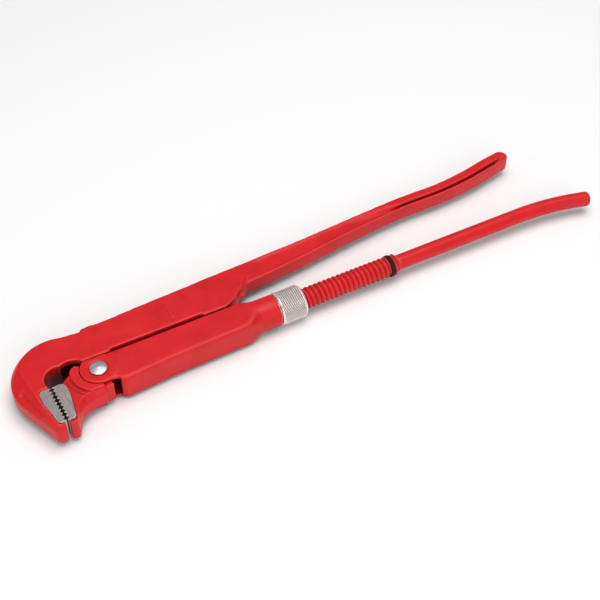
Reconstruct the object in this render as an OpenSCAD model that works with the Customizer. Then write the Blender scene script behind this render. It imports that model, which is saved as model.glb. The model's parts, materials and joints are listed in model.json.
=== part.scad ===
// Pipe wrench of the Swedish pattern, with jaws at a right angle to the handles.
// Every module is drawn with the jaw rivet at the centre: X runs along the threaded
// spindle towards the handles, Y points to the fixed arm and Z goes through the thickness.
// place() then moves it so that the whole tool is centred and lies on the plane Z = 0.

/* [Overall] */
// Length from the nose of the hook to the end of the lower handle
overall_length = 556; // [552:1:566]
// Distance from the jaw rivet forwards to the nose of the hook
hook_reach = 69.5; // [69:0.5:71]
// Depth of the jaws below the spindle axis
jaw_depth = 42.5; // [42:0.5:43.5]

/* [Fixed arm] */
// Thickness of the hook and beam between their flat cheeks
arm_thickness = 26; // [25:0.5:27]
// Thickness of the rib that runs round the outside of the hook
rib_thickness = 12; // [10:0.5:14]
// Thickness of the I-section handle
handle_thickness = 13.5; // [13:0.5:15]
// Depth of the groove in each side of the grip
groove_depth = 4.4; // [3:0.2:4.6]
// Depth of the shallow recess between the beam and the grip
web_depth = 1.2; // [0.6:0.2:1.8]
// Thickness of the lug that carries the hinge pin
lug_thickness = 8.4; // [8:0.1:8.6]
// Distance from the jaw rivet back to the hinge pin
pivot_x = 119; // [118.5:0.5:119.5]

/* [Sliding sleeve] */
// Width of the sleeve across its cheeks
sleeve_width = 25; // [24.5:0.25:25.5]
// Width across the two round lobes that hold the lower jaw
lobe_width = 26; // [25.5:0.25:26.5]
// Radius of the lobes around the jaw rivet
lobe_radius = 15.5; // [15:0.25:15.75]
// Clear width of the open channel
channel_width = 19.4; // [19.3:0.05:19.6]
// Height of the channel floor below the spindle axis
channel_floor = 12.5; // [12.3:0.1:13]
// Radius of the round collar at the back
collar_radius = 14.3; // [14.1:0.1:14.5]
// Distance from the jaw rivet back to the end of the collar
collar_end = 161.6; // [161.2:0.2:161.8]

/* [Adjusting nut] */
// Radius over the knurl
nut_radius = 14.7; // [14.6:0.1:15]
// Length of the knurled body
nut_length = 24.6; // [24:0.2:25]

/* [Spindle and lower handle] */
// Radius over the thread crests
thread_radius = 9.5; // [9.45:0.01:9.5]
// Thread pitch
thread_pitch = 4.6; // [4.5:0.1:4.6]
// Depth of the thread
thread_depth = 1.3; // [1:0.1:1.5]
// Radius of the round lower handle
rod_radius = 6.8; // [6.5:0.1:7.2]
// Radius of the gentle bend near the end of the lower handle
bend_radius = 240; // [220:5:260]
// Angle of that bend
bend_angle = 16.5; // [14:0.5:17]

/* [Jaw inserts] */
// Height of the toothed inserts
insert_height = 38; // [36:0.5:38]
// Number of teeth on each insert
tooth_count = 9; // [8:1:10]
// Depth of each tooth
tooth_depth = 1.9; // [1.5:0.1:2.2]
// Gap between opposite tooth tips when the jaws are closed
tooth_gap = 1.2; // [1:0.1:1.6]

/* [Hidden] */
$fn = 96;
fit = 0.08;                 // radial clearance of every running fit
far = 200;                  // longer than any cut needs
red = [0.85, 0.13, 0.15];
steel = [0.66, 0.65, 0.63];

rod_end = overall_length - hook_reach;
handle_cheek = handle_thickness / 2;

// Hook: a big circle for the back of the hook and a small one for its tip
hook_r = 42.2;
hook_centre = [hook_r - hook_reach, 10];
tip_r = 5;
tip_centre = [-48.5, tip_r - jaw_depth];
tip_thickness = 23;
cheek_step = 4.5;           // how far the flat cheeks stay inside the rib
ridge_top = [-58, 34];      // the ridge where the bevel of the hook meets its cheek
ridge_foot = [-51.8, -38];
throat_face = -43;          // inner face of the hook
arm_underside = 13.2;       // lands on which the sleeve and its lobes slide past
arm_recess = 15.4;          // relieved underside between the lands
beam_end = 126;
beam_crease = [[107.2, 41], [118, 25], [125.6, 14.8]];

// Hollow in the arm's underside, between its two cheeks
hollow_front = -26.5;
hollow_back = 100;
hollow_top = 32;
hollow_width = 15;

// Handle of the arm: centre line and half width, from the beam to the end
handle_line = [[150, 46.4], [186, 49.1], [217, 51.5], [275, 57.3], [326, 60.9],
               [362, 60.8], [395, 63.8], [422, 69], [442.5, 73]];
handle_half = [11.8, 11.1, 9.9, 8, 7.3, 7.1, 7.3, 7.4, 6.9];
handle_end = handle_line[len(handle_line) - 1];
handle_end_half = handle_half[len(handle_half) - 1];
handle_end_slope = 11;
curve_steps = 5;
handle_points = curve(handle_line);
handle_widths = curve(handle_half);
recess_start = 162;         // the recess reaches its depth at recess_full
recess_full = 170;
groove_start = 266;         // from here it narrows and deepens to the groove of the grip
groove_full = 312;
groove_fade = 434;          // from here it runs out towards the tip
groove_out = 447;
narrow_first = 14;          // curve points between which it narrows
narrow_last = 19;
flange_width = 2.4;         // left above and below the recess
slot_half = 1.7;            // half height of the groove along the grip
slot_drop = 3.2;            // how far the groove lies below the middle of the grip

// Hinge
pin_radius = 4.5;
pin_length = 18.4;
lug_radius = 9;
fork_gap = lug_thickness + 0.3;
fork_radius = 9.4;
fork_front = 10;
fork_slot_end = 134;

// Sleeve
half_lobe = lobe_width / 2;
half_channel = channel_width / 2;
sleeve_top = 12;
lobe_top = 12.6;
web_front = 12;
web_front_low = -20.8;
web_back_low = -16.4;
web_back = 128;
collar_start = 141;
channel_end = 138;
rivet_radius = 5;
head_radius = 7.4;
head_seat_radius = 8.4;
head_seat_depth = 1.2;

// Leaf spring and its rivet, which ends inside the web
spring_rivet_x = 52;
spring_rivet_radius = 2;
spring_rivet_head = 3.6;
spring_rivet_rise = 0.9;
spring_rivet_end = -16;
spring_thickness = 0.9;
spring_width = 12;
spring_back = 60;
spring_bend = 34;
spring_front = 17.5;
spring_tip = -8.6;

// Nut spigot and its retaining ring
spigot_radius = 11.8;
spigot_start = 152.4;
seat_start = 152;
ring_start = 155.1;
ring_end = 156.9;
ring_groove_radius = 10.8;
ring_outer = 12.9;
nut_start = collar_end + 0.8;

// Lower jaw
jaw_half = 10.4;
back_half = 5.5;
back_root = [-24, -12];
back_inner = [[-33, -38.6], [-31.2, -35], [-27.4, -26.6], [-21.4, -20], [-12, -18.4], [-1.5, -18.4]];
back_outer = [[-33.4, -40.4], [-31, -36], [-26.4, -30], [-20.4, -25.6], [-11.2, -23.2], [-1.5, -21.8]];
knuckle_half = 12.5;
tongue_half = 9.4;
tongue_radius = 12.4;
heel_radius = 19.5;
knuckle_inner = lobe_radius + 0.4;
knuckle_outer = 23.6;
socket_radius = knuckle_inner + 4.2;    // clears the heel inside the sleeve
horn_angle = 143;
heel_angle = -72;
knuckle_angle = -97;
jaw_rib_inner = 25.8;
jaw_rib_outer = 27.3;
jaw_rib_half = 11.8;
jaw_rib_from = 176;
jaw_rib_to = 240;

// Inserts: the tooth face of each is at right angles to the spindle
tooth_line = -41.5;
insert_half = 12;
insert_top = -0.4;
tooth_pitch = insert_height / (tooth_count + 0.5);

// Thread
thread_start = 163;
thread_end = 282;
stop_start = 272.6;
stop_width = 4;
stop_radius = 9.9;

place_x = hook_reach - overall_length / 2;
place_y = (jaw_depth - handle_end[1] - handle_end_half) / 2;

module place() {
    translate([place_x, place_y, nut_radius]) children();
}

module along_x(x) {
    translate([x, 0, 0]) rotate([0, 90, 0]) children();
}

module plate(thickness) {
    linear_extrude(thickness, center = true) children();
}

// Catmull-Rom curve through a list of values or points
function curve_at(p, i, t) =
    let (a = p[max(i - 1, 0)], b = p[i], c = p[i + 1], d = p[min(i + 2, len(p) - 1)])
    0.5 * (2 * b + (c - a) * t + (2 * a - 5 * b + 4 * c - d) * t * t
           + (3 * b - a - 3 * c + d) * t * t * t);
function curve(p) = concat(
    [for (i = [0 : len(p) - 2], k = [0 : curve_steps - 1]) curve_at(p, i, k / curve_steps)],
    [p[len(p) - 1]]);
function side(line, half, s) = [
    for (i = [0 : len(line) - 1])
        let (d = line[min(i + 1, len(line) - 1)] - line[max(i - 1, 0)])
        line[i] + s * half[i] * [-d[1], d[0]] / norm(d)];
function flipped(p) = [for (i = [len(p) - 1 : -1 : 0]) p[i]];
function arc(r, a, b, n) = [for (i = [0 : n]) r * [cos(a + (b - a) * i / n), sin(a + (b - a) * i / n)]];

// ---- fixed arm ----

module hook_rib() {
    translate(hook_centre) circle(hook_r);
    translate(tip_centre) circle(tip_r);
}

module hook_cheek() {
    intersection() {
        translate(hook_centre) circle(hook_r - cheek_step);
        polygon([ridge_top, ridge_foot, [0, ridge_foot[1]], [far, 0], [far, far], ridge_top + [0, far]]);
    }
}

module hook() {
    hull() {
        plate(rib_thickness) hook_rib();
        plate(arm_thickness) hook_cheek();
        plate(tip_thickness) translate(tip_centre + [1, 1]) circle(tip_r - 1.4);
    }
}

module beam() {
    plate(arm_thickness) polygon([
        [-30, 0], [-27, hook_centre[1] + hook_r - cheek_step], [0, 44.6], [20, 46.6],
        [60, 48.9], [107, 50.8], each beam_crease,
        [beam_end - 4, arm_underside], [beam_end - 4, 0]]);
    plate(rib_thickness) polygon([
        [-27, 0], [-27, 52], [-6, 48.8], [1, 49.8], [5, 53.8], [13, 54], [20, 53.2],
        [60, 53.8], [128, 56.4], [128, 20]]);
}

module throat() {
    translate([-31.2, 4.8]) circle(12.6);
    translate([-20, 3.5]) circle(15);
    translate([throat_face, -far]) square([far + 150, far + 5]);
    translate([-30, -far]) square([far + 150, far + arm_underside]);
    translate([15, 0]) polygon([[0, 0], [0, arm_underside], [2, arm_recess], [84, arm_recess],
                                [86.5, arm_underside], [86.5, 0]]);
}

module lug() {
    plate(lug_thickness) {
        translate([pivot_x, 0]) circle(lug_radius);
        polygon([[104, 24], [109, 12], [pivot_x - lug_radius, 0], [pivot_x + lug_radius, 0],
                 [129.5, 10.4], [132.6, 17], [137.4, 22.6], [145, 27], [150, 36], [150, 44]]);
    }
}

// From the end of the beam the cheeks draw in to the thickness of the handle
module shoulder() {
    hull() {
        plate(arm_thickness) polygon(concat([[106, 50.6]], beam_crease, [[104, 46]]));
        plate(handle_thickness) polygon([[137, 24.5], [160, 46], [160, 58], [128, 57]]);
    }
    plate(handle_thickness) polygon([
        [126, 14.4], [131, 14.6], [135, 20.6], [138.5, 26.6], [143, 31.5], [150, 34.8],
        [157, 35.4], [160, 50], [128, 57], [120, 40]]);
}

module handle_outline() {
    polygon(concat(side(handle_points, handle_widths, 1), flipped(side(handle_points, handle_widths, -1))));
    translate(handle_end) circle(handle_end_half);
    polygon([[120, 56.2], [152, 58.1], [152, 34.9], [134, 26]]);
}

// The recess keeps a flange above and below, and narrows to the groove of the grip
module groove_outline() {
    steps = [0 : len(handle_points) - 1];
    narrowed = [for (i = steps) min(max((i - narrow_first) / (narrow_last - narrow_first), 0), 1)];
    wide = [for (i = steps) (handle_widths[i] - flange_width) * (1 - narrowed[i])];
    above = [for (i = steps) wide[i] + (slot_half - slot_drop) * narrowed[i]];
    below = [for (i = steps) wide[i] + (slot_half + slot_drop) * narrowed[i]];
    polygon(concat(side(handle_points, above, 1), flipped(side(handle_points, below, -1))));
    translate(handle_end) rotate(handle_end_slope)
        translate([-1, -slot_half - slot_drop]) square([far, 2 * slot_half]);
}

// The same cut seen from the side: its depth along the handle
module groove_profile() {
    rotate([90, 0, 0]) linear_extrude(2 * far, center = true) polygon([
        [recess_start, 1], [recess_start, 0], [recess_full, -web_depth], [groove_start, -web_depth],
        [groove_full, -groove_depth], [groove_fade, -groove_depth], [groove_out, 0], [groove_out, 1]]);
}

module fixed_arm() {
    color(red) place() difference() {
        union() {
            difference() {
                union() {
                    hook();
                    beam();
                }
                plate(far) throat();
                translate([hollow_front, 0, -hollow_width / 2])
                    cube([hollow_back - hollow_front, hollow_top, hollow_width]);
            }
            lug();
            shoulder();
            plate(handle_thickness) handle_outline();
        }
        for (s = [0, 1]) mirror([0, 0, s])
            translate([0, 0, handle_cheek]) intersection() {
                plate(2 * groove_depth + 1) groove_outline();
                groove_profile();
            }
        plate(far) fixed_insert_pocket();
        translate([pivot_x, 0, 0]) cylinder(h = far, r = pin_radius, center = true);
    }
}

// ---- inserts ----

// The notches between the teeth, cut into a face at x = 0 that looks to +X
module tooth_notches() {
    for (i = [0 : tooth_count - 1])
        translate([0, -(i + 0.75) * tooth_pitch])
            polygon([[0.1, tooth_pitch * 0.42], [-tooth_depth, 0], [0.1, -tooth_pitch * 0.42]]);
}

// Side view of an insert whose tooth face is x = 0: wide is its width at the top, slim at the foot
module insert_pocket(wide, slim, corner) {
    polygon(concat(
        [[0, -insert_height], [-slim + 2, -insert_height], [-slim, -insert_height + 2],
         [-slim - 0.4, -insert_height + 5], [-wide, -13]],
        [for (p = arc(corner, 180, 92, 6)) p + [corner - wide, -corner]],
        [[0, -0.8]]));
}

module fixed_insert_place() {
    translate([tooth_line - tooth_gap / 2, insert_top]) children();
}

module lower_insert_place() {
    translate([tooth_line + tooth_gap / 2, insert_top]) mirror([1, 0]) children();
}

module fixed_insert_pocket() {
    fixed_insert_place() insert_pocket(10.4, 6.8, 5);
}

module lower_insert_pocket() {
    lower_insert_place() insert_pocket(11.4, 7.6, 5.5);
}

module fixed_jaw_insert() {
    color(steel) place() plate(2 * insert_half) difference() {
        fixed_insert_pocket();
        fixed_insert_place() tooth_notches();
    }
}

module lower_jaw_insert() {
    color(steel) place() plate(2 * insert_half) difference() {
        lower_insert_pocket();
        lower_insert_place() tooth_notches();
    }
}

// ---- hinge ----

module hinge_pin() {
    color(steel) place() translate([pivot_x, 0, 0])
        cylinder(h = pin_length, r = pin_radius, center = true);
}

// ---- sleeve ----

module sleeve_side() {
    polygon([[0, lobe_top], [10, lobe_top], [14, sleeve_top], [web_back, sleeve_top],
             [web_back, web_back_low], [60, -17.9], [web_front + 4, web_front_low],
             [web_front, web_front_low + 3.5], [web_front, -16], [4, -14.9], [0, 0]]);
}

module sleeve() {
    color(red) place() difference() {
        union() {
            plate(sleeve_width) sleeve_side();
            plate(lobe_width) intersection() {
                circle(lobe_radius);
                translate([-far, -far]) square([2 * far, far + lobe_top]);
            }
            hull() {
                translate([web_back - 1, (sleeve_top + web_back_low) / 2, 0])
                    cube([2, sleeve_top - web_back_low, sleeve_width], center = true);
                along_x(collar_start) cylinder(h = 2, r = collar_radius, $fn = 32);
            }
            along_x(collar_start) cylinder(h = collar_end - collar_start, r = collar_radius);
        }
        translate([-far, -channel_floor, -half_channel])
            cube([far + channel_end, far, channel_width]);
        plate(channel_width) circle(socket_radius);
        along_x(0) cylinder(h = far, r = thread_radius + fit);
        along_x(seat_start) cylinder(h = far, r = spigot_radius + fit);
        along_x(ring_start) cylinder(h = ring_end - ring_start, r = ring_outer);
        cylinder(h = far, r = rivet_radius, center = true);
        for (s = [0, 1]) mirror([0, 0, s])
            translate([0, 0, half_lobe - head_seat_depth]) cylinder(h = far, r = head_seat_radius);
        translate([spring_rivet_x, spring_rivet_end, 0]) rotate([-90, 0, 0])
            cylinder(h = -channel_floor - spring_rivet_end + 1, r = spring_rivet_radius);
    }
}

module jaw_rivet() {
    seat = half_lobe - head_seat_depth;
    rise = nut_radius - seat;
    dome = (head_radius * head_radius + rise * rise) / (2 * rise);
    edge = asin(head_radius / dome);
    color([0.88, 0.87, 0.85]) place() {
        cylinder(h = 2 * seat, r = rivet_radius, center = true);
        for (s = [0, 1]) mirror([0, 0, s])
            rotate_extrude() polygon(concat([[0, seat]],
                [for (i = [0 : 10]) [dome * sin(edge * (1 - i / 10)),
                                     seat + rise - dome + dome * cos(edge * (1 - i / 10))]]));
    }
}

// ---- leaf spring behind the heel of the lower jaw ----

module leaf_spring() {
    color([0.35, 0.36, 0.38]) place() difference() {
        linear_extrude(spring_width, center = true) polygon([
            [spring_back, -channel_floor], [spring_back, -channel_floor + spring_thickness],
            [spring_bend, -channel_floor + spring_thickness], [spring_front, spring_tip],
            [spring_front, spring_tip - spring_thickness], [spring_bend, -channel_floor]]);
        translate([spring_rivet_x, -channel_floor, 0]) rotate([90, 0, 0])
            cylinder(h = far, r = spring_rivet_radius, center = true);
    }
}

module spring_rivet() {
    top = -channel_floor + spring_thickness;
    color(steel) place() translate([spring_rivet_x, 0, 0]) rotate([-90, 0, 0]) {
        translate([0, 0, spring_rivet_end]) cylinder(h = top - spring_rivet_end, r = spring_rivet_radius);
        translate([0, 0, top]) cylinder(h = spring_rivet_rise, r = spring_rivet_head);
    }
}

// ---- nut ----

module adjusting_nut() {
    lead = 0.8;
    tail = 3;
    bore = thread_radius + fit;
    end = nut_start + nut_length;
    color(steel) place() along_x(0) rotate_extrude() polygon([
        [bore, spigot_start], [spigot_radius, spigot_start],
        [spigot_radius, ring_start - 0.1], [ring_groove_radius, ring_start - 0.1],
        [ring_groove_radius, ring_end + 0.1], [spigot_radius, ring_end + 0.1],
        [spigot_radius, nut_start], [nut_radius - lead, nut_start],
        [nut_radius, nut_start + lead], [nut_radius, end - tail],
        [nut_radius - 1, end - 1], [nut_radius - 2.6, end], [bore, end]]);
}

module nut_retaining_ring() {
    color([0.4, 0.4, 0.42]) place() difference() {
        along_x(ring_start) difference() {
            cylinder(h = ring_end - ring_start, r = ring_outer);
            cylinder(h = far, r = ring_groove_radius + 0.1, center = true);
        }
        translate([ring_start - 1, 0, -2]) cube([4, far, 4]);
    }
}

// ---- lower jaw ----

module jaw_outline() {
    polygon([[-16.4, 11.9], [-19.8, 10.4], [-23.4, 5.9], [-28, 2.4], [-31.4, 0.4], [-31.4, -6],
             [-40.8, -36], [-40.8, -38.4], [-40, -40.2], [-38.4, -41.2], [-36.2, -41.4], [-34.2, -40.8],
             [-32.6, -39], [-31.2, -35.6], [-28.4, -28.4], [-25, -23.6], [-20.6, -20.4], [-12, -18.8],
             [-1.5, -18.8], [0, 0]]);
}

// The cheeks of the jaw slope down to a thinner edge along its back
module jaw_back() {
    for (i = [0 : len(back_inner) - 2])
        hull() {
            plate(2 * jaw_half) polygon([back_inner[i], back_inner[i + 1], back_root]);
            plate(2 * back_half) polygon([
                back_inner[i], back_outer[i], back_outer[i + 1], back_inner[i + 1]]);
        }
}

module wedge(from, to) {
    polygon(concat([[0, 0]], arc(60, from, to, 12)));
}

module ring_sector(inner, outer, from, to) {
    intersection() {
        difference() {
            circle(outer);
            circle(inner);
        }
        wedge(from, to);
    }
}

module lower_jaw() {
    color(red) place() difference() {
        union() {
            difference() {
                union() {
                    plate(2 * jaw_half) jaw_outline();
                    jaw_back();
                    plate(2 * knuckle_half) intersection() {
                        ring_sector(knuckle_inner, knuckle_outer, horn_angle, knuckle_angle + 360);
                        jaw_outline();
                    }
                    plate(2 * jaw_rib_half) intersection() {
                        ring_sector(jaw_rib_inner, jaw_rib_outer, jaw_rib_from, jaw_rib_to);
                        jaw_outline();
                    }
                }
                plate(far) circle(knuckle_inner);
            }
            plate(2 * tongue_half) circle(tongue_radius);
            plate(2 * tongue_half)
                ring_sector(tongue_radius - 2, heel_radius, horn_angle, heel_angle + 360);
        }
        plate(far) lower_insert_pocket();
        cylinder(h = far, r = rivet_radius + fit, center = true);
    }
}

// ---- spindle and lower handle ----

// One trapezoidal ridge on every pitch from the start to the end of the thread
function thread_profile() = [
    for (i = [0 : floor((thread_end - thread_start) / thread_pitch) - 1], k = [0 : 3])
        [thread_radius - (k == 0 || k == 3 ? thread_depth : 0),
         thread_start + thread_pitch * (i + [0.08, 0.3, 0.68, 0.9][k])]];

module threaded_spindle() {
    core = thread_radius - thread_depth;
    color(red) place() difference() {
        intersection() {
            along_x(0) rotate_extrude() polygon(concat(
                [[0, pivot_x - fork_front], [fork_radius, pivot_x - fork_front], [fork_radius, thread_start]],
                thread_profile(), [[core, thread_end], [0, thread_end]]));
            plate(far) union() {
                translate([pivot_x, 0]) circle(fork_front);
                translate([pivot_x, -far / 2]) square([far, far]);
            }
        }
        translate([0, -far / 2, -fork_gap / 2]) cube([fork_slot_end, far, fork_gap]);
        translate([pivot_x, 0, 0]) cylinder(h = far, r = pin_radius + fit, center = true);
        along_x(stop_start) difference() {
            cylinder(h = stop_width, r = stop_radius + 1);
            cylinder(h = stop_width, r = core);
        }
    }
}

module thread_stop_ring() {
    core = thread_radius - thread_depth;
    color([0.12, 0.08, 0.08]) place() along_x(stop_start) difference() {
        cylinder(h = stop_width, r = stop_radius);
        translate([0, 0, -1]) cylinder(h = stop_width + 2, r = core);
    }
}

module lower_handle() {
    round_r = 4;
    cap = 5;
    overlap = 1;
    skin = 0.1;     // the bend is a hair thicker, so that its joints with the straight ends close
    bend_start = rod_end - bend_radius * sin(bend_angle) - cap * cos(bend_angle)
                 - (rod_radius - round_r) * sin(bend_angle);
    color(red) place() {
        along_x(thread_end) rotate_extrude() polygon([
            [0, 0], [rod_radius, 0],
            [rod_radius, bend_start + overlap - thread_end], [0, bend_start + overlap - thread_end]]);
        translate([bend_start, -bend_radius, 0]) rotate([0, 0, 90 - bend_angle]) {
            rotate_extrude(angle = bend_angle)
                translate([bend_radius, 0]) rotate(90) circle(rod_radius + skin);
            translate([bend_radius, overlap, 0]) rotate([90, 0, 0])
                rotate_extrude() polygon(concat([[0, 0], [rod_radius, 0]],
                    [for (p = arc(round_r, 0, 90, 6))
                        p + [rod_radius - round_r, cap + overlap - round_r]],
                    [[0, cap + overlap]]));
        }
    }
}

fixed_arm();
fixed_jaw_insert();
hinge_pin();
sleeve();
jaw_rivet();
leaf_spring();
spring_rivet();
nut_retaining_ring();
lower_jaw();
lower_jaw_insert();
adjusting_nut();
threaded_spindle();
lower_handle();
thread_stop_ring();
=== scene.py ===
import json
import math

import bmesh
import bpy
import numpy as np
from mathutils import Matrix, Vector, noise


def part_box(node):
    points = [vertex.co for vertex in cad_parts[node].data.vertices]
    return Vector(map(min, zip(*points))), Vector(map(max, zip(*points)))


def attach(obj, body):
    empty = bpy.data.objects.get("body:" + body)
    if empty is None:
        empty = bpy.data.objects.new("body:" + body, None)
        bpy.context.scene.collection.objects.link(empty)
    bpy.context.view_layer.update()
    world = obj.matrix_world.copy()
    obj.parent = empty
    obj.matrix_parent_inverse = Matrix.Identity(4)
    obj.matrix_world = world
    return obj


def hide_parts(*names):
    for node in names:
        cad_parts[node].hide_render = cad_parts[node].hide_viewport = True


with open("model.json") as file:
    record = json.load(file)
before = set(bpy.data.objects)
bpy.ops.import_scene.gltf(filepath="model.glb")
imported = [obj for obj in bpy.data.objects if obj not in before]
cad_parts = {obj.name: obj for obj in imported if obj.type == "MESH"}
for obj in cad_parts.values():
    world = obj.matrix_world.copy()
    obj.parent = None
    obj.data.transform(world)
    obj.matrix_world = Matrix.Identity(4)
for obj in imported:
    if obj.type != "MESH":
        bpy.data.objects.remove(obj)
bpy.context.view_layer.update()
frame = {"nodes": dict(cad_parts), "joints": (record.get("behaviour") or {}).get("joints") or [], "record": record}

# ---- places: lengths are in millimetres from the centre of the jaw rivet, unless a name says ----

MM = 0.001
NODES = frame["nodes"]
JOINTS = {joint["name"]: joint for joint in frame["joints"]}
RIVET = Vector(JOINTS["jaw_pivot"]["pos_m"])
SAME_POINT_M = 0.001 * MM
PITCH = 2 * math.pi / frame["record"]["behaviour"]["couplings"][0]["ratio"] / MM


def at(x, y, z=0.0):
    """A point of the row frame, in metres."""
    return RIVET + Vector((x, y, z)) * MM


def span(node, axis):
    """The lowest and highest place of a CAD node along an axis."""
    low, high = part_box(node)
    return (low[axis] - RIVET[axis]) / MM, (high[axis] - RIVET[axis]) / MM


def ramp(value, start, end):
    """0 before start and 1 after end, with a smooth rise between them."""
    t = np.clip((value - start) / (end - start), 0, 1)
    return t * t * (3 - 2 * t)


def band(value, rise_start, rise_end, fall_start, fall_end):
    """1 from rise_end to fall_start, with a smooth rise before it and a smooth fall after it."""
    return ramp(value, rise_start, rise_end) * ramp(-value, -fall_end, -fall_start)


# ---- camera, stage and lights ----

CAMERA_AZIMUTH = math.radians(28.34)
CAMERA_ELEVATION = math.radians(46.0)
CAMERA_DISTANCE_M = 1.122
CAMERA_LENS = 78.0
CAMERA_SENSOR = 36.0
CAMERA_TARGET = at(185.6, 0.6)
CAMERA_REACH_M = 50
FLOOR_HALF_SIDE_M = 6.0
WORLD_STRENGTH = 0.34


def make_camera():
    camera = bpy.data.objects.new("camera", bpy.data.cameras.new("camera"))
    bpy.context.scene.collection.objects.link(camera)
    flat = Vector((math.sin(CAMERA_AZIMUTH), math.cos(CAMERA_AZIMUTH), 0))
    back = Vector((0, 0, math.sin(CAMERA_ELEVATION))) - flat * math.cos(CAMERA_ELEVATION)
    camera.location = CAMERA_TARGET + back * CAMERA_DISTANCE_M
    camera.rotation_euler = (-back).to_track_quat("-Z", "Y").to_euler()
    camera.data.lens = CAMERA_LENS
    camera.data.sensor_width = CAMERA_SENSOR
    camera.data.clip_end = CAMERA_REACH_M
    bpy.context.scene.camera = camera


def make_floor():
    side = FLOOR_HALF_SIDE_M
    mesh = bpy.data.meshes.new("floor")
    corners = [(-side, -side, 0), (side, -side, 0), (side, side, 0), (-side, side, 0)]
    mesh.from_pydata(corners, [], [(0, 1, 2, 3)])
    floor = bpy.data.objects.new("floor", mesh)
    bpy.context.scene.collection.objects.link(floor)
    material, shader = new_material("floor_paper", (0.97, 0.97, 0.97), 0.9)
    mesh.materials.append(material)


def area_light(name, place, size, power):
    light = bpy.data.objects.new(name, bpy.data.lights.new(name, "AREA"))
    bpy.context.scene.collection.objects.link(light)
    light.location = place
    light.rotation_euler = (-Vector(place)).to_track_quat("-Z", "Y").to_euler()
    light.data.shape = "RECTANGLE"
    light.data.size, light.data.size_y = size
    light.data.energy = power


def make_lights():
    area_light("overhead", (0.1, -0.1, 1.8), (1.8, 1.3), 24)
    area_light("front_fill", (-0.3, -1.7, 0.9), (2.0, 1.0), 10)
    area_light("left_strip", (-1.7, 0.2, 0.9), (0.5, 1.4), 2)
    world = bpy.data.worlds.new("studio")
    world.use_nodes = True
    background = world.node_tree.nodes["Background"]
    background.inputs["Color"].default_value = (1, 1, 1, 1)
    background.inputs["Strength"].default_value = WORLD_STRENGTH
    bpy.context.scene.world = world
    bpy.context.scene.view_settings.view_transform = "Standard"


# ---- materials ----

def new_material(name, colour, roughness, metallic=0.0):
    """A material with plain values on its shader. Its patterns are linked over them afterwards."""
    material = bpy.data.materials.new(name)
    material.use_nodes = True
    shader = material.node_tree.nodes["Principled BSDF"]
    shader.inputs["Base Color"].default_value = (*colour, 1)
    shader.inputs["Roughness"].default_value = roughness
    shader.inputs["Metallic"].default_value = metallic
    return material, shader


def noise_at(tree, scale, detail=3.0, stretch=(1, 1, 1)):
    """A noise pattern fixed to the piece; scale is in cycles per metre, stretch is by axis."""
    coordinates = tree.nodes.new("ShaderNodeTexCoord")
    mapping = tree.nodes.new("ShaderNodeMapping")
    mapping.inputs["Scale"].default_value = stretch
    tree.links.new(coordinates.outputs["Object"], mapping.inputs["Vector"])
    pattern = tree.nodes.new("ShaderNodeTexNoise")
    pattern.inputs["Scale"].default_value = scale
    pattern.inputs["Detail"].default_value = detail
    tree.links.new(mapping.outputs["Vector"], pattern.inputs["Vector"])
    return pattern.outputs["Fac"]


def stops(tree, value, *pairs):
    """A colour or grey ramp over value: each pair is a position and a colour."""
    node = tree.nodes.new("ShaderNodeValToRGB")
    elements = node.color_ramp.elements
    while len(elements) < len(pairs):
        elements.new(0.5)
    for element, (position, colour) in zip(elements, pairs):
        element.position = position
        element.color = (*colour, 1) if len(colour) == 3 else (*colour * 3, 1)
    tree.links.new(value, node.inputs["Fac"])
    return node.outputs["Color"]


MIX_FACTOR, MIX_A, MIX_B, MIX_RESULT = 0, 6, 7, 2


def mixed(tree, kind, share, a, b):
    """Colour b over colour a; share is a number or a socket."""
    node = tree.nodes.new("ShaderNodeMix")
    node.data_type = "RGBA"
    node.blend_type = kind
    factor = node.inputs[MIX_FACTOR]
    if isinstance(share, (int, float)):
        factor.default_value = share
    else:
        tree.links.new(share, factor)
    tree.links.new(a, node.inputs[MIX_A])
    tree.links.new(b, node.inputs[MIX_B])
    return node.outputs[MIX_RESULT]


def bump(tree, shader, height, distance_mm, strength, under=None):
    """A bump on the shader, laid over the one before it when under is given."""
    node = tree.nodes.new("ShaderNodeBump")
    node.inputs["Strength"].default_value = strength
    node.inputs["Distance"].default_value = distance_mm * MM
    tree.links.new(height, node.inputs["Height"])
    if under is not None:
        tree.links.new(under, node.inputs["Normal"])
    tree.links.new(node.outputs["Normal"], shader.inputs["Normal"])
    return node.outputs["Normal"]


# samples and reach of the painted shade that darkens the enamel in its hollows
SHADE_SAMPLES = 8
SHADE_REACH = 26


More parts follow.
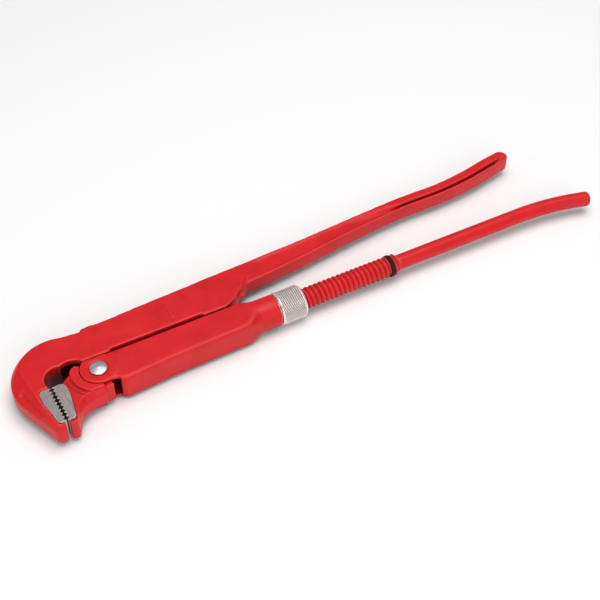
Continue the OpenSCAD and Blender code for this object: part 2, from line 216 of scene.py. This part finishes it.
def enamel():
    """Semi-gloss red enamel: a painted highlight on convex edges that also stands for thinner enamel there,
    painted shade in corners and hollows, a slight orange peel.
    """
    material, shader = new_material("red_enamel", (0.66, 0.012, 0.018), 0.36)
    tree = material.node_tree
    clouds = stops(tree, noise_at(tree, 45, 4),
                   (0.3, (0.64, 0.007, 0.010)), (0.7, (0.76, 0.010, 0.014)))
    geometry = tree.nodes.new("ShaderNodeNewGeometry")
    # painted shade: the colour gets darker where the mesh is concave, in creases and corners
    corners = stops(tree, geometry.outputs["Pointiness"], (0.42, (0.25, 0.22, 0.22)),
                    (0.49, (0.9,)), (0.51, (0.95,)), (0.56, (1.0, 1.0, 1.0)))
    # painted shade: ambient occlusion darkens the colour in hollows, throats and gaps between parts
    occlusion = tree.nodes.new("ShaderNodeAmbientOcclusion")
    occlusion.samples = SHADE_SAMPLES
    occlusion.inputs["Distance"].default_value = SHADE_REACH * MM
    painted_hollow_shade = stops(tree, occlusion.outputs["AO"], (0.12, (0.10, 0.07, 0.07)),
                    (0.40, (0.60, 0.55, 0.55)), (0.62, (1.0, 1.0, 1.0)))
    shader.inputs["Specular IOR Level"].default_value = 0.32
    base = mixed(tree, "MULTIPLY", 1.0, mixed(tree, "MULTIPLY", 1.0, clouds, corners), painted_hollow_shade)
    # painted highlight: a lighter, paler red on convex edges, also standing for thinner enamel there
    edge_highlight_share = stops(tree, geometry.outputs["Pointiness"], (0.515, (0.0,)), (0.56, (0.5,)))
    edge_highlight = stops(tree, noise_at(tree, 320, 2),
                 (0.35, (0.80, 0.06, 0.065)), (0.7, (0.86, 0.12, 0.12)))
    tree.links.new(mixed(tree, "MIX", edge_highlight_share, base, edge_highlight), shader.inputs["Base Color"])
    tree.links.new(stops(tree, noise_at(tree, 90, 4), (0.3, (0.34,)), (0.75, (0.46,))),
                   shader.inputs["Roughness"])
    waves = bump(tree, shader, noise_at(tree, 140, 3), 0.25, 0.5)
    bump(tree, shader, noise_at(tree, 750, 2), 0.05, 0.5, waves)
    return material


def brushed(name, dark, light, roughness, stretch, scale=700.0):
    """Bare metal with a fine grain along one axis."""
    material, shader = new_material(name, light, roughness, 1.0)
    tree = material.node_tree
    grain = noise_at(tree, scale, 4, stretch)
    stain = noise_at(tree, 180, 5)
    colour = mixed(tree, "MULTIPLY", 0.6, stops(tree, grain, (0.3, dark), (0.7, light)),
                   stops(tree, stain, (0.35, (0.72, 0.70, 0.69)), (0.6, (1.0, 1.0, 1.0))))
    tree.links.new(colour, shader.inputs["Base Color"])
    tree.links.new(stops(tree, stain, (0.3, (roughness + 0.1,)), (0.7, (roughness - 0.06,))),
                   shader.inputs["Roughness"])
    bump(tree, shader, grain, 0.04, 0.6)
    return material


def plated_knurl():
    """Plated steel, with painted shade that darkens the colour where the mesh says that the knurl is deep."""
    material, shader = new_material("nut_steel", (0.9, 0.82, 0.79), 0.3, 0.75)
    tree = material.node_tree
    depth = tree.nodes.new("ShaderNodeAttribute")
    depth.attribute_name = "depth"
    plate = stops(tree, noise_at(tree, 160, 4),
                  (0.3, (0.86, 0.77, 0.74)), (0.7, (0.98, 0.90, 0.87)))
    # painted shade: the knurl's valleys get darker with their depth
    valley_shade = stops(tree, depth.outputs["Fac"],
                  (0.35, (1.0, 1.0, 1.0)), (0.85, (0.10, 0.08, 0.07)))
    tree.links.new(mixed(tree, "MULTIPLY", 1.0, plate, valley_shade), shader.inputs["Base Color"])
    tree.links.new(stops(tree, depth.outputs["Fac"], (0.0, (0.24,)), (1.0, (0.55,))),
                   shader.inputs["Roughness"])
    bump(tree, shader, noise_at(tree, 900, 3), 0.03, 0.4)
    return material


def rubber():
    """Dull black rubber with a fine grain."""
    material, shader = new_material("black_rubber", (0.018, 0.010, 0.010), 0.5)
    shader.inputs["Specular IOR Level"].default_value = 0.12
    tree = material.node_tree
    colour = stops(tree, noise_at(tree, 300, 4),
                   (0.3, (0.010, 0.006, 0.006)), (0.75, (0.034, 0.020, 0.018)))
    tree.links.new(colour, shader.inputs["Base Color"])
    tree.links.new(stops(tree, noise_at(tree, 200, 3), (0.3, (0.42,)), (0.7, (0.62,))),
                   shader.inputs["Roughness"])
    bump(tree, shader, noise_at(tree, 1400, 3), 0.05, 0.5)
    return material


make_camera()
make_floor()
make_lights()

MATERIALS = {
    "red_enamel": enamel(),
    "insert_steel": brushed("insert_steel", (0.40, 0.34, 0.34), (0.60, 0.52, 0.52),
                            0.42, (1, 0.12, 1)),
    "nut_steel": plated_knurl(),
    "rivet_steel": brushed("rivet_steel", (0.62, 0.60, 0.59), (0.92, 0.90, 0.88),
                           0.34, (0.3, 1, 1), 400),
    "pin_steel": brushed("pin_steel", (0.42, 0.42, 0.42), (0.60, 0.60, 0.60),
                         0.32, (1, 1, 0.1)),
    "spring_steel": brushed("spring_steel", (0.07, 0.075, 0.085), (0.15, 0.155, 0.17),
                            0.36, (0.1, 1, 1)),
    "black_rubber": rubber(),
}
SLOTS = {part["node"]: part["material_slot"] for part in frame["record"]["subparts"]}
BODIES = {node: body for body, nodes in frame["record"]["behaviour"]["bodies"].items()
          for node in nodes}


# ---- pieces ----

def finish_piece(name, mesh, node):
    """Makes a mesh in the row frame into the piece that stands for a CAD node."""
    piece = bpy.data.objects.new(name, mesh)
    bpy.context.scene.collection.objects.link(piece)
    mesh.materials.clear()
    mesh.materials.append(MATERIALS[SLOTS[node]])
    mesh.polygons.foreach_set("use_smooth", [True] * len(mesh.polygons))
    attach(piece, BODIES[node])
    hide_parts(node)


SHARP_EDGE = math.radians(25)


def keep_node(node, bevel_mm):
    """Shows the CAD node itself, with its material and its sharp edges broken."""
    piece = NODES[node]
    piece.data.materials.clear()
    piece.data.materials.append(MATERIALS[SLOTS[node]])
    piece.modifiers.new("weld", "WELD").merge_threshold = SAME_POINT_M
    edge = piece.modifiers.new("edge", "BEVEL")
    edge.width = bevel_mm * MM
    edge.segments = 3
    edge.limit_method = "ANGLE"
    edge.angle_limit = SHARP_EDGE
    edge.harden_normals = False


def smooth(points, edges, rounds, share=None):
    """Moves points half way to the middle of their neighbours, rounds times; share scales it."""
    a, b = edges[:, 0], edges[:, 1]
    count = len(points)
    degree = np.bincount(a, minlength=count) + np.bincount(b, minlength=count)
    for _ in range(rounds):
        total = np.stack([np.bincount(a, points[b, k], count)
                          + np.bincount(b, points[a, k], count) for k in range(3)], 1)
        step = 0.5 * (total / degree[:, None] - points)
        points = points + (step if share is None else step * share[:, None])
    return points


def waviness(points, size_mm, height_mm, seed):
    """Small smooth offsets, as a forging's skin has."""
    shift = Vector((seed, 0, 0))
    return height_mm * np.array([noise.noise(Vector(p) / size_mm + shift) for p in points])


WAVE_SIZE = 9.0
WAVE_HEIGHT = 0.06
WAVE_SEED = 3.0


def put_points(mesh, points):
    """Puts points, in millimetres, back into a mesh of the row frame."""
    mesh.vertices.foreach_set("co", (points * MM + np.array(RIVET)).ravel())
    mesh.update()


def forged(node, voxel_mm, rounds, shape=None, soft=None, soft_rounds=0):
    """A copy of a CAD node with rounded edges: remeshed, smoothed, shaped and slightly uneven."""
    copy = bpy.data.objects.new(node + "_copy", NODES[node].data.copy())
    bpy.context.scene.collection.objects.link(copy)
    copy.modifiers.new("weld", "WELD").merge_threshold = SAME_POINT_M
    remesh = copy.modifiers.new("remesh", "REMESH")
    remesh.mode = "VOXEL"
    remesh.voxel_size = voxel_mm * MM
    ready = copy.evaluated_get(bpy.context.evaluated_depsgraph_get())
    mesh = bpy.data.meshes.new_from_object(ready)
    bpy.data.objects.remove(copy)
    mesh.name = node + "_forged"

    points = np.empty(len(mesh.vertices) * 3)
    mesh.vertices.foreach_get("co", points)
    points = (points.reshape(-1, 3) - np.array(RIVET)) / MM
    edges = np.empty(len(mesh.edges) * 2, int)
    mesh.edges.foreach_get("vertices", edges)
    edges = edges.reshape(-1, 2)
    points = smooth(points, edges, rounds)
    if soft is not None:
        points = smooth(points, edges, soft_rounds, soft(points))
    if shape is not None:
        points = shape(points)
    put_points(mesh, points)
    normals = np.empty(len(mesh.vertices) * 3)
    mesh.vertices.foreach_get("normal", normals)
    inwards = WAVE_HEIGHT + waviness(points, WAVE_SIZE, WAVE_HEIGHT, WAVE_SEED)
    put_points(mesh, points - normals.reshape(-1, 3) * inwards[:, None])
    finish_piece(node + "_forging", mesh, node)


def lathe_points(profile, segments):
    """Rings round the spindle's axis; profile gives each ring's place and radius."""
    turn = np.arange(segments) * 2 * math.pi / segments
    place, radius = np.array(profile, float).T
    ring = np.stack([np.cos(turn), np.sin(turn)], 1)
    points = np.empty((len(place), segments, 3))
    points[:, :, 0] = place[:, None]
    points[:, :, 1:] = radius[:, None, None] * ring[None]
    return points


def ring_faces(rings, segments, loop):
    """Quads between rings of points, and back to the first ring when loop is true."""
    faces = []
    for i in range(rings if loop else rings - 1):
        j = (i + 1) % rings
        for k in range(segments):
            n = (k + 1) % segments
            faces.append((i * segments + k, i * segments + n, j * segments + n, j * segments + k))
    return faces


def mesh_from_rings(name, points, loop, caps=False):
    """points is rings by segments by 3, in millimetres."""
    rings, segments = points.shape[:2]
    vertices = (points.reshape(-1, 3) * MM + np.array(RIVET)).tolist()
    faces = ring_faces(rings, segments, loop)
    if caps:
        faces.append(tuple(range(segments))[::-1])
        faces.append(tuple((rings - 1) * segments + k for k in range(segments)))
    mesh = bpy.data.meshes.new(name)
    mesh.from_pydata(vertices, [], faces)
    work = bmesh.new()
    work.from_mesh(mesh)
    bmesh.ops.recalc_face_normals(work, faces=work.faces)
    work.to_mesh(mesh)
    work.free()
    mesh.update()
    return mesh


# ---- fixed arm ----

SCOOP = {"line": ((-62.6, 5.0), (-56.8, -21.0)), "radius": 3.0, "depth": 2.2}
HOOK_RIDGE = {"line": ((-57.6, 30.0), (-52.9, -26.5)), "radius": 0.9, "depth": -0.35}
BEAM_LINE = {"line": ((76.6, 37.0), (76.5, 24.0)), "radius": 0.8, "depth": -0.6}
GRIP_START = 140.0
FLANGE = 1.6
RECESS_FRONT = (152, 160, 172, 184)
RECESS_BACK = (252, 264, 308, 322)
SLEEVE_EDGES = (13, 17, 128, 136)


def sink(points, line, radius, depth):
    """Moves both cheeks inwards along a line, or outwards when depth is negative."""
    start, end = np.array(line)
    along = end - start
    share = np.clip((points[:, :2] - start) @ along / (along @ along), 0, 1)
    away = np.linalg.norm(points[:, :2] - start - share[:, None] * along, axis=1)
    moved = points.copy()
    fade = np.exp(-(away / radius) ** 2)
    moved[:, 2] -= np.sign(points[:, 2]) * depth * fade * ramp(np.abs(points[:, 2]), 3, 7)
    return moved


def shape_arm(points):
    """A scoop in the hook's bevel, a bead on the ridge above it and a raised line on the beam."""
    for mark in (SCOOP, HOOK_RIDGE, BEAM_LINE):
        points = sink(points, **mark)
    return points


def soft_arm(points):
    """The recess of the handle runs out softly at both ends, inside its two flanges."""
    x, y, z = points.T
    place = np.round(x).astype(int)
    place -= place.min()
    top = np.full(place.max() + 1, -np.inf)
    foot = np.full(place.max() + 1, np.inf)
    np.maximum.at(top, place, y)
    np.minimum.at(foot, place, y)
    inside = np.minimum(top[place] - y, y - foot[place])
    ends = band(x, *RECESS_FRONT) + band(x, *RECESS_BACK)
    web = ramp(inside, FLANGE, FLANGE + 1.5) * ramp(np.abs(z), 1.0, 2.0)
    return ends * web * (x > GRIP_START)


def soft_sleeve(points):
    """The sleeve's two long lower edges are rounder than the rest."""
    x, y, z = points.T
    return ramp(-y, 8, 12) * ramp(np.abs(z), 7, 9) * band(x, *SLEEVE_EDGES)


forged("fixed_arm", voxel_mm=0.8, rounds=3, shape=shape_arm, soft=soft_arm, soft_rounds=50)
forged("sleeve", voxel_mm=0.7, rounds=4, soft=soft_sleeve, soft_rounds=40)
forged("lower_jaw", voxel_mm=0.5, rounds=4)


# ---- nut, thread, rod, ring and rivet ----

NUT_BODY = 24.6
NUT_BORE = 9.58
NUT_SPIGOT = 11.8
KNURL_ROWS = 46
KNURL_DEPTH = 0.8
KNURL_STEPS = 10
KNURL_PITCH = 2.0
KNURL_WEAKER_CUT = 0.6


def knurled_nut():
    """A plain band, a diamond knurl with one set of grooves deeper, and a chamfered back."""
    node = "adjusting_nut"
    spigot_start, back = span(node, 0)
    radius = span(node, 2)[1]
    front = back - NUT_BODY
    band = front + 1.6
    chamfer = back - 2.6
    segments = KNURL_ROWS * KNURL_STEPS
    knurl = [(x, radius) for x in np.arange(band + 0.3, chamfer, KNURL_PITCH / KNURL_STEPS)]
    profile = [(spigot_start, NUT_BORE), (spigot_start, NUT_SPIGOT - 0.4),
               (spigot_start + 0.4, NUT_SPIGOT), (front - 0.05, NUT_SPIGOT), (front, NUT_SPIGOT),
               (front, NUT_SPIGOT + 0.1), (front, radius - 1.0), (front + 0.15, radius - 0.8),
               (front + 0.8, radius - 0.15), (front + 1.0, radius - 0.05),
               (band - 0.2, radius), (band, radius)]
    first = len(profile)
    profile += knurl
    last = len(profile)
    profile += [(chamfer + 0.1, radius - 0.1), (chamfer + 0.4, radius - 0.2),
                (back - 0.9, radius - 1.3), (back - 0.6, radius - 1.6),
                (back - 0.1, radius - 2.6), (back, radius - 2.9),
                (back, NUT_BORE + 0.5), (back - 0.5, NUT_BORE)]
    points = lathe_points(profile, segments)
    turn = np.arange(segments) / KNURL_STEPS
    x = points[:, 0, 0][:, None]
    left = np.abs((turn[None] + x / KNURL_PITCH) % 1 - 0.5) * 2
    right = np.abs((turn[None] - x / KNURL_PITCH) % 1 - 0.5) * 2
    depth = 1 - np.minimum(left, 1 - KNURL_WEAKER_CUT + KNURL_WEAKER_CUT * right)
    row = np.arange(len(profile))
    depth *= ((row >= first) & (row < last))[:, None]
    points[:, :, 1:] *= (1 - KNURL_DEPTH * depth / radius)[:, :, None]
    mesh = mesh_from_rings("nut", points, loop=True)
    mesh.attributes.new("depth", "FLOAT", "POINT").data.foreach_set("value", depth.ravel())
    finish_piece("knurled_nut", mesh, node)


THREAD_START = 163.0
THREAD_DEPTH = 1.9
THREAD_SEGMENTS = 96
THREAD_STEPS = 14
THREAD_CREST_POWER = 0.6
THREAD_RUN_OUT = 1.6
RING_SEAT_FADE = (0.6, 0.4)


def spindle():
    """A helical thread behind the forked front end, with a plain seat for the stop ring."""
    node = "threaded_spindle"
    end = span(node, 0)[1]
    crest = span(node, 2)[1]
    ring_low, ring_high = span("thread_stop_ring", 0)
    x = np.arange(THREAD_START, end, PITCH / THREAD_STEPS)
    x = np.append(x, end)
    points = lathe_points([(value, crest) for value in x], THREAD_SEGMENTS)
    turn = np.arange(THREAD_SEGMENTS) / THREAD_SEGMENTS
    phase = (x[:, None] / PITCH - turn[None]) * 2 * math.pi
    ridge = (0.5 + 0.5 * np.cos(phase)) ** THREAD_CREST_POWER
    outside, inside = RING_SEAT_FADE
    under_ring = band(x, ring_low - outside, ring_low + inside,
                      ring_high - inside, ring_high + outside)
    ridge *= (1 - under_ring)[:, None] * ramp(-x, -end, -end + THREAD_RUN_OUT)[:, None]
    radius = crest - THREAD_DEPTH * (1 - ridge)
    points[:, :, 1:] *= (radius / crest)[:, :, None]
    mesh = mesh_from_rings("thread", points, loop=False, caps=True)
    work = bmesh.new()
    work.from_mesh(NODES[node].data)
    bmesh.ops.remove_doubles(work, verts=work.verts, dist=SAME_POINT_M)
    cut = bmesh.ops.bisect_plane(work, geom=work.verts[:] + work.edges[:] + work.faces[:],
                                 plane_co=at(THREAD_START, 0), plane_no=(1, 0, 0),
                                 clear_outer=True)
    rim = [item for item in cut["geom_cut"] if isinstance(item, bmesh.types.BMEdge)]
    bmesh.ops.contextual_create(work, geom=rim)
    work.from_mesh(mesh)
    work.to_mesh(mesh)
    work.free()
    finish_piece("spindle_thread", mesh, node)


ROD_SEGMENTS = 64
BEND_RADIUS = 240.0
BEND_ANGLE = math.radians(16.5)
ROD_ROUNDING = 4.0
ROD_CAP = 5.0


def lower_handle():
    """A round bar that bends gently near its end, and ends in a rounded edge."""
    node = "lower_handle"
    start, end = span(node, 0)
    radius = span(node, 2)[1]
    tip = Vector((math.cos(BEND_ANGLE), -math.sin(BEND_ANGLE)))
    straight = ROD_CAP - ROD_ROUNDING
    bend = (end - BEND_RADIUS * math.sin(BEND_ANGLE) - straight * tip.x
            + (radius - ROD_ROUNDING) * tip.y - ROD_ROUNDING)
    path = [(x, 0.0, 0.0, radius) for x in np.linspace(start + 0.6, bend, 60)]
    path.insert(0, (start, 0.0, 0.0, radius - 0.5))
    for a in np.linspace(0, BEND_ANGLE, 25)[1:]:
        path.append((bend + BEND_RADIUS * math.sin(a), -BEND_RADIUS * (1 - math.cos(a)), a, radius))
    x, y, a, _ = path[-1]
    for b in np.linspace(0, math.pi / 2, 10):
        reach = straight + ROD_ROUNDING * math.sin(b)
        path.append((x + tip.x * reach, y + tip.y * reach, a,
                     radius - ROD_ROUNDING * (1 - math.cos(b))))
    turn = np.arange(ROD_SEGMENTS) * 2 * math.pi / ROD_SEGMENTS
    rings = np.empty((len(path), ROD_SEGMENTS, 3))
    for ring, (x, y, a, r) in zip(rings, path):
        ring[:, 0] = x + r * np.cos(turn) * math.sin(a)
        ring[:, 1] = y + r * np.cos(turn) * math.cos(a)
        ring[:, 2] = r * np.sin(turn)
    mesh = mesh_from_rings("rod", rings, loop=False, caps=True)
    finish_piece("round_bar_handle", mesh, node)


RING_WALL = 1.7
RING_ROUNDING = 1.1


def stop_ring():
    """A band of rubber with rounded edges."""
    node = "thread_stop_ring"
    low, high = span(node, 0)
    outer = span(node, 2)[1]
    inner = outer - RING_WALL
    half = (high - low) / 2
    middle = (low + high) / 2
    corners = []
    for sx, sr, first in ((1, 1, 0), (-1, 1, 90), (-1, -1, 180), (1, -1, 270)):
        size = RING_ROUNDING if sr > 0 else 0.3
        for b in np.radians(first + np.linspace(0, 90, 7)):
            corners.append((middle + sx * (half - size) + size * math.cos(b),
                            (outer - size if sr > 0 else inner + size) + size * math.sin(b)))
    mesh = mesh_from_rings("ring", lathe_points(corners, 96), loop=True)
    finish_piece("rubber_stop_ring", mesh, node)


RIVET_SHANK = 5.0
RIVET_SEAT = 11.9


def jaw_rivet():
    """A plain shank with a smooth domed head on each side, set with a slight flat."""
    node = "jaw_rivet"
    top = span(node, 2)[1]
    head = span(node, 0)[1]
    rise = top - RIVET_SEAT - 0.5
    half = [(0.0, top - 0.12), (head * 0.12, top - 0.13), (head * 0.22, top - 0.2)]
    for b in np.linspace(0.3, 1, 12):
        dome = math.sqrt(1 - (b * 0.93) ** 2.3)
        half.append((head * b, RIVET_SEAT + 0.15 + rise * dome))
    half += [(head, RIVET_SEAT + 0.1), (head - 0.3, RIVET_SEAT), (RIVET_SHANK, RIVET_SEAT)]
    profile = half + [(r, -z) for r, z in half[::-1]]
    rings = lathe_points([(z, r) for r, z in profile], 96)
    upright = np.stack([rings[:, :, 1], rings[:, :, 2], rings[:, :, 0]], 2)
    mesh = mesh_from_rings("rivet", upright, loop=False)
    work = bmesh.new()
    work.from_mesh(mesh)
    bmesh.ops.remove_doubles(work, verts=work.verts, dist=0.0001 * MM)
    bmesh.ops.recalc_face_normals(work, faces=work.faces)
    work.to_mesh(mesh)
    work.free()
    finish_piece("domed_rivet", mesh, node)


knurled_nut()
spindle()
lower_handle()
stop_ring()
jaw_rivet()

KEPT_NODES = {
    "fixed_jaw_insert": 0.35,
    "lower_jaw_insert": 0.35,
    "hinge_pin": 0.3,
    "leaf_spring": 0.15,
    "spring_rivet": 0.2,
    "nut_retaining_ring": 0.15,
}
for kept_node, edge_mm in KEPT_NODES.items():
    keep_node(kept_node, edge_mm)
